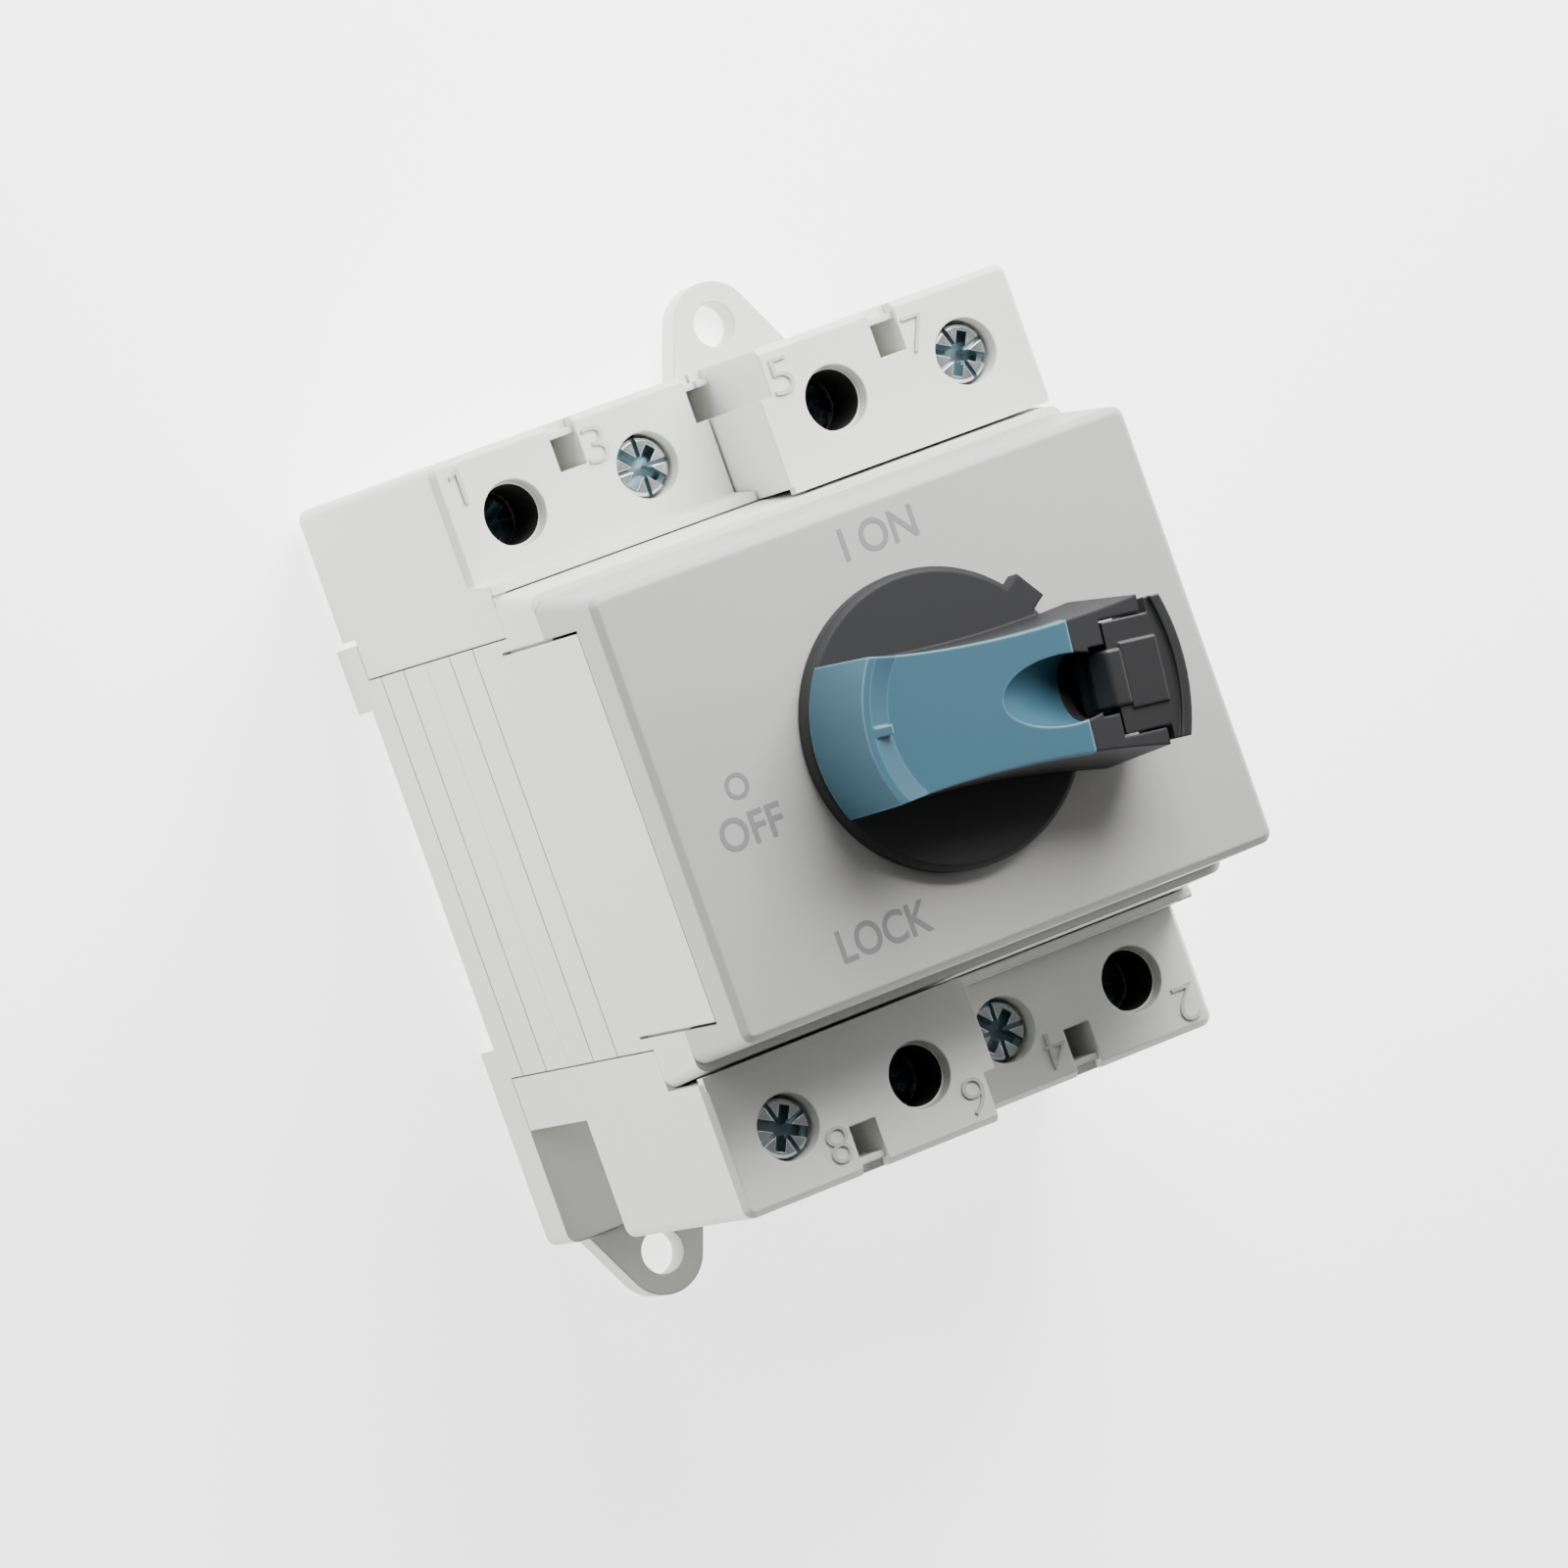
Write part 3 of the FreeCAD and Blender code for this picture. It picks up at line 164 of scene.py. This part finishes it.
# The digits are the block's white plastic, made darker as painted shade so that their raised strokes
# show
digit_white_painted_shade = moulded("digit_white_painted_shade", (0.50, 0.51, 0.49), 0.5, grain=0.1, edge=0.03)
seamless_white = moulded("seamless_white", (0.70, 0.71, 0.68), 0.48, edge=0)
ink = moulded("print_grey", (0.20, 0.20, 0.205), 0.6, grain=0.1, edge=0.02)
# Painted shade: the slot, cross and marks of the screws are the head's zinc, coloured dark as the shade
# inside them
recess_painted_shade = metal("screw_recess", (0.24, 0.33, 0.36), 0.3)
# Painted shade: a dark copy of the zinc for the screws that sit deep in their holes
zinc_painted_shade = metal("zinc_painted_shade", (0.045, 0.05, 0.055), 0.45)
shadow_black = moulded("bore_painted_shade", (0.004, 0.004, 0.004), 0.9, grain=0.1, edge=0.05)

for part in record["subparts"]:
    node = frame["nodes"][part["node"]]
    for place in node.material_slots:
        place.material = finish[part["material_slot"]]


# Helpers that make a piece and let it ride on a body

def add_piece(name, mesh, materials, body):
    for material in materials:
        mesh.materials.append(material)
    piece = bpy.data.objects.new(name, mesh)
    bpy.context.scene.collection.objects.link(piece)
    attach(piece, body)
    return piece


def clean_mesh(name, vertices, faces):
    mesh = bpy.data.meshes.new(name)
    mesh.from_pydata(vertices, [], faces)
    shape = bmesh.new()
    shape.from_mesh(mesh)
    bmesh.ops.remove_doubles(shape, verts=shape.verts, dist=SAME_POINT)
    bmesh.ops.recalc_face_normals(shape, faces=shape.faces)
    shape.to_mesh(mesh)
    shape.free()
    return mesh


def lathe(name, profile, sides, closed=False):
    vertices = []
    for radius, z in profile:
        for side in range(sides):
            angle = math.tau * side / sides
            vertices.append((radius * math.cos(angle) * MM, radius * math.sin(angle) * MM, z * MM))
    faces = []
    rings = len(profile)
    for ring in range(rings if closed else rings - 1):
        low = ring * sides
        high = (ring + 1) % rings * sides
        for side in range(sides):
            after = (side + 1) % sides
            faces.append((low + side, low + after, high + after, high + side))
    return clean_mesh(name, vertices, faces)


def prism(name, near, far):
    count = len(near)
    faces = [tuple(range(count)), tuple(range(2 * count - 1, count - 1, -1))]
    faces += [(i, i + count, (i + 1) % count + count, (i + 1) % count) for i in range(count)]
    return clean_mesh(name, near + far, faces)


def block(name, low, high):
    shape = bmesh.new()
    bmesh.ops.create_cube(shape, size=1)
    low = Vector(low) * MM
    high = Vector(high) * MM
    fit = Matrix.Translation((low + high) / 2) @ Matrix.Diagonal((*(high - low), 1))
    bmesh.ops.transform(shape, matrix=fit, verts=shape.verts)
    mesh = bpy.data.meshes.new(name)
    shape.to_mesh(mesh)
    shape.free()
    return mesh


# Lettering

FLAGGED_ONE = [(-0.02, -0.5), (0.1, -0.5), (0.1, 0.5), (0.02, 0.5),
               (-0.22, 0.33), (-0.22, 0.22), (-0.02, 0.36)]
PRINT_WEIGHT = 0.015
PRINT_LIFT = 0.03
LIFT_SHARE = 0.45
LETTER_STEPS = 6
LETTER_DEPTH = 0.5


def letter_mesh(text, weight):
    curve = bpy.data.curves.new("letters", "FONT")
    curve.body = text
    curve.align_x = "CENTER"
    curve.align_y = "CENTER"
    curve.resolution_u = LETTER_STEPS
    curve.offset = weight
    curve.extrude = LETTER_DEPTH
    letters = bpy.data.objects.new("letters", curve)
    bpy.context.scene.collection.objects.link(letters)
    bpy.context.view_layer.update()
    mesh = bpy.data.meshes.new_from_object(letters.evaluated_get(bpy.context.evaluated_depsgraph_get()))
    bpy.data.objects.remove(letters)
    return mesh


def one_mesh():
    return prism("one", [(x, y, 0) for x, y in FLAGGED_ONE], [(x, y, 1) for x, y in FLAGGED_ONE])


def lettering(name, text, centre, height, width, material, turn=0, lift=PRINT_LIFT,
              weight=PRINT_WEIGHT):
    mesh = one_mesh() if text == "1" else letter_mesh(text, weight)
    low = Vector([min(v.co[i] for v in mesh.vertices) for i in range(3)])
    high = Vector([max(v.co[i] for v in mesh.vertices) for i in range(3)])
    span = high - low
    fit = Matrix.Diagonal((width * MM / span.x, height * MM / span.y, lift * MM / span.z, 1))
    spin = Matrix.Rotation(math.radians(turn), 4, "Z")
    x, y, z = centre
    shift = Matrix.Translation((x * MM, y * MM, z + lift * LIFT_SHARE * MM))
    mesh.transform(shift @ spin @ fit @ Matrix.Translation(-(low + high) / 2))
    return add_piece(name, mesh, [material], "housing")


PRINT_HEIGHT = 3.3
RING_HEIGHT = 2.6
PRINTS = [("print_on", "I ON", 0.8, 19.0, PRINT_HEIGHT, 8.4),
          ("print_o", "O", -22.4, 0.95, RING_HEIGHT, RING_HEIGHT),
          ("print_off", "OFF", -22.4, -3.3, PRINT_HEIGHT, 7.0),
          ("print_lock", "LOCK", -12.8, -17.1, PRINT_HEIGHT, 10.3)]

front_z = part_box("front_cover")[1].z
for name, text, x, y, height, width in PRINTS:
    lettering(name, text, (x, y, front_z), height, width, ink)

MOUTH_DEPTH = 1.4
DIGIT_HEIGHT = 3.7
DIGIT_WIDTH = 2.4
DIGIT_RAISED = 0.25
DIGIT_WEIGHT = -0.014
DIGIT_PLACES = {1: (-28.1, 36.6), 3: (-12.6, 36.1), 5: (3.2, 36.3), 7: (18.7, 35.8)}

for digit, (x, y) in DIGIT_PLACES.items():
    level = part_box("terminal_screw_3" if digit < 5 else "terminal_screw_7")[1].z + MOUTH_DEPTH * MM
    for number, side, turn in ((digit, 1, 0), (digit + 1, -1, 180)):
        width = DIGIT_WIDTH / 2 if number == 1 else DIGIT_WIDTH
        lettering("number_%d" % number, str(number), (x * side, y * side, level), DIGIT_HEIGHT, width,
                  digit_white_painted_shade, turn, DIGIT_RAISED, DIGIT_WEIGHT)


# Terminal screws with a slot, a cross and four fine marks

SCREW_LENGTH = 10.7
HEAD_HEIGHT = 3.2
HEAD_RADIUS = 2.94
HEAD_BEVEL = 0.2
HEAD_ROUND = 0.3
ROUND_SIDE = 0.08
ROUND_DROP = 0.12
SHANK_RADIUS = 1.95
THREAD_DEPTH = 0.3
THREAD_PITCH = 0.7
THREAD_START = 0.2
SLOT_HALF = 0.55
SLOT_DEPTH = 1.0
CROSS_REACH = 2.3
CROSS_HALF = 0.55
CROSS_DEPTH = 1.9
MARK_HALF = 0.24
MARK_DEPTH = 0.7
PAST_HEAD = HEAD_RADIUS + 1
FIRST_TURN = -55.5
TURN_STEP = 9.5
SCREW_SIDES = 72


def screw_profile():
    points = [(0, -SCREW_LENGTH), (SHANK_RADIUS - 2 * THREAD_DEPTH, -SCREW_LENGTH)]
    turns = int((SCREW_LENGTH - HEAD_HEIGHT) / THREAD_PITCH)
    for turn in range(turns):
        start = -SCREW_LENGTH + (turn + THREAD_START) * THREAD_PITCH
        points += [(SHANK_RADIUS - THREAD_DEPTH, start), (SHANK_RADIUS, start + THREAD_PITCH / 2)]
    points += [(SHANK_RADIUS - THREAD_DEPTH, -HEAD_HEIGHT), (HEAD_RADIUS - HEAD_BEVEL, -HEAD_HEIGHT),
               (HEAD_RADIUS, HEAD_BEVEL - HEAD_HEIGHT), (HEAD_RADIUS, -HEAD_ROUND),
               (HEAD_RADIUS - ROUND_SIDE, -ROUND_DROP), (HEAD_RADIUS - HEAD_ROUND, 0), (0, 0)]
    return points


# The tops of the five bars differ a little, so that no two faces lie in one plane

def recess_cutter():
    bars = [(CROSS_REACH, CROSS_HALF, CROSS_DEPTH, 1.1, 0),
            (PAST_HEAD, SLOT_HALF, SLOT_DEPTH, 1.0, 0),
            (CROSS_REACH, CROSS_HALF, CROSS_DEPTH, 1.2, 90),
            (PAST_HEAD, MARK_HALF, MARK_DEPTH, 1.3, 45),
            (PAST_HEAD, MARK_HALF, MARK_DEPTH, 1.4, 135)]
    cutter = bmesh.new()
    for reach, half, depth, top, turn in bars:
        bar = block("bar", (-reach, -half, -depth), (reach, half, top))
        bar.transform(Matrix.Rotation(math.radians(turn), 4, "Z"))
        cutter.from_mesh(bar)
    mesh = bpy.data.meshes.new("recess")
    cutter.to_mesh(mesh)
    cutter.free()
    return mesh


def recessed_screw():
    meshes = lathe("screw", screw_profile(), SCREW_SIDES), recess_cutter()
    objects = []
    for side, mesh in enumerate(meshes):
        mesh.materials.append(finish["zinc_steel"])
        mesh.materials.append(recess_painted_shade)
        for face in mesh.polygons:
            face.material_index = side
        objects.append(bpy.data.objects.new("screw_part", mesh))
        bpy.context.scene.collection.objects.link(objects[side])
    blank, cutter = objects
    recess = blank.modifiers.new("recess", "BOOLEAN")
    recess.operation = "DIFFERENCE"
    recess.solver = "EXACT"
    recess.use_self = True
    recess.object = cutter
    bpy.context.view_layer.update()
    made = bpy.data.meshes.new_from_object(blank.evaluated_get(bpy.context.evaluated_depsgraph_get()))
    for temporary in objects:
        bpy.data.objects.remove(temporary)
    return made


DEEP_SCREWS = (1, 2, 5, 6)

screw_mesh = recessed_screw()
for number in range(1, 9):
    node = "terminal_screw_%d" % number
    low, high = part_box(node)
    pole = (number - 1) // 2
    turn = FIRST_TURN + TURN_STEP * pole + (0 if number % 2 else 180)
    spin = Matrix.Rotation(math.radians(turn), 4, "Z")
    mesh = screw_mesh.copy()
    mesh.transform(Matrix.Translation(((low.x + high.x) / 2, (low.y + high.y) / 2, high.z)) @ spin)
    # The deep screws take the dark zinc as painted shade
    if number in DEEP_SCREWS:
        mesh.materials[0] = zinc_painted_shade
    screw = add_piece("screw_%d" % number, mesh, [], node)
    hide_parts(node)


# Sleeves in the deep screw holes: a white ring on top, and walls painted black as the shade down in the
# holes

SLEEVE_RADIUS = 3.33
SLEEVE_BORE = 3.04
SLEEVE_GAP = 0.1
SLEEVE_SIDES = 64
LEVEL_MARGIN = 0.01

for number in DEEP_SCREWS:
    low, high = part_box("terminal_screw_%d" % number)
    top = (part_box("terminal_screw_%d" % (number + 2))[1].z - high.z) / MM
    ring = [(SLEEVE_BORE, SLEEVE_GAP), (SLEEVE_RADIUS, SLEEVE_GAP),
            (SLEEVE_RADIUS, top), (SLEEVE_BORE, top)]
    mesh = lathe("sleeve", ring, SLEEVE_SIDES, closed=True)
    for face in mesh.polygons:
        face.material_index = 1 if face.center.z > (top - LEVEL_MARGIN) * MM else 0
    mesh.transform(Matrix.Translation(((low.x + high.x) / 2, (low.y + high.y) / 2, high.z)))
    add_piece("sleeve_%d" % number, mesh, [shadow_black, finish["terminal_white"]], "housing")


# Ledges beside the flange, on the upper terminal blocks

LEDGE_START = 24.95
LEDGE_END = 26.3
LEDGE_DEPTH = 1.2
LEDGE_RAISED = 0.015
LEDGE_INSET = 0.4

for node, side in (("terminal_block_5_7", 1), ("terminal_block_6_8", -1)):
    low, high = [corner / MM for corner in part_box(node)]
    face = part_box("terminal_screw_7")[1].z / MM + MOUTH_DEPTH
    start, end = sorted((side * LEDGE_START, side * LEDGE_END))
    ledge = block("ledge", (low.x + LEDGE_INSET, start, face - LEDGE_DEPTH),
                  (high.x - LEDGE_INSET, end, face + LEDGE_RAISED))
    add_piece("ledge_" + node[-3:], ledge, [seamless_white], "housing")


# Raised block of the lock tab, beside its bare plate

TAB_TURN = -7.0
TAB_BLOCK_HALF = 2.85
TAB_BLOCK_TOP = 0.15
TAB_BLOCK = [(15.3, 0.0), (13.5, 0.0), (12.5, -2.1), (12.5, -3.6), (15.3, -3.6)]
TAB_ROUNDING = 0.35
TAB_ROUNDING_STEPS = 3

tab_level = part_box("lock_tab")[1].z / MM - TAB_BLOCK_TOP
tab_sides = [[(x * MM, y * MM, (tab_level + z) * MM) for x, z in TAB_BLOCK]
             for y in (-TAB_BLOCK_HALF, TAB_BLOCK_HALF)]
tab_block = prism("tab_block", *tab_sides)
tab_block.transform(Matrix.Rotation(math.radians(TAB_TURN), 4, "Z"))
tab_piece = add_piece("tab_block", tab_block, [finish["lock_tab_grey"]], "lock_tab")
rounding = tab_piece.modifiers.new("rounding", "BEVEL")
rounding.width = TAB_ROUNDING * MM
rounding.segments = TAB_ROUNDING_STEPS


# Stage, light and camera

FLOOR_HALF = 3
FLOOR_DROP = 0.0001
FLOOR_GLOW = 2.2
SKY_STRENGTH = 0.14

floor_corners = [(x * FLOOR_HALF, y * FLOOR_HALF, 0) for x, y in ((-1, -1), (1, -1), (1, 1), (-1, 1))]
floor_mesh = bpy.data.meshes.new("floor")
floor_mesh.from_pydata(floor_corners, [], [(0, 1, 2, 3)])
floor = bpy.data.objects.new("floor", floor_mesh)
bpy.context.scene.collection.objects.link(floor)
floor.location.z = -FLOOR_DROP
floor_material, floor_tree, floor_surface = shader("floor")
floor_surface.inputs["Base Color"].default_value = (0.93, 0.93, 0.93, 1)
floor_surface.inputs["Roughness"].default_value = 0.9
floor_surface.inputs["Emission Color"].default_value = (1, 1, 1, 1)
floor_surface.inputs["Emission Strength"].default_value = FLOOR_GLOW
floor_mesh.materials.append(floor_material)

world = bpy.context.scene.world or bpy.data.worlds.new("world")
bpy.context.scene.world = world
world.use_nodes = True
sky = world.node_tree.nodes["Background"]
sky.inputs["Color"].default_value = (1, 1, 1, 1)
sky.inputs["Strength"].default_value = SKY_STRENGTH


def soft_light(name, place, aim, size, power):
    data = bpy.data.lights.new(name, "AREA")
    data.size = size
    data.energy = power
    lamp = bpy.data.objects.new(name, data)
    bpy.context.scene.collection.objects.link(lamp)
    direction = Vector(aim) - Vector(place)
    turn = direction.to_track_quat("-Z", "Y").to_matrix().to_4x4()
    lamp.matrix_world = Matrix.Translation(place) @ turn


soft_light("key", (0.09, 0.21, 0.24), (0, 0, 0.05), 0.24, 3.1)
soft_light("fill", (-0.5, 0.58, 0.18), (0, 0, 0.03), 0.5, 4.3)
soft_light("side", (0.6, 0.0, 0.35), (0, 0, 0.04), 0.4, 1.4)

# The camera was fitted to the photo, with the focal length in pixels of the photo

SENSOR_WIDTH = 36
PHOTO_WIDTH = 1600
FOCAL_PIXELS = 9892.9
CAMERA_PLACE = (-0.41205, 0.04122, 0.90104)
CAMERA_RIGHT = (0.84598919, -0.33552056, 0.41440106)
CAMERA_UP = (0.32195411, 0.94096049, 0.10458924)
CAMERA_BACK = (-0.42502686, 0.04493675, 0.90406463)

camera_data = bpy.data.cameras.new("camera")
camera_data.sensor_width = SENSOR_WIDTH
camera_data.lens = FOCAL_PIXELS / PHOTO_WIDTH * SENSOR_WIDTH
camera_data.clip_end = 10
camera = bpy.data.objects.new("camera", camera_data)
bpy.context.scene.collection.objects.link(camera)
turn = Matrix((CAMERA_RIGHT, CAMERA_UP, CAMERA_BACK)).transposed().to_4x4()
camera.matrix_world = Matrix.Translation(CAMERA_PLACE) @ turn
bpy.context.scene.camera = camera
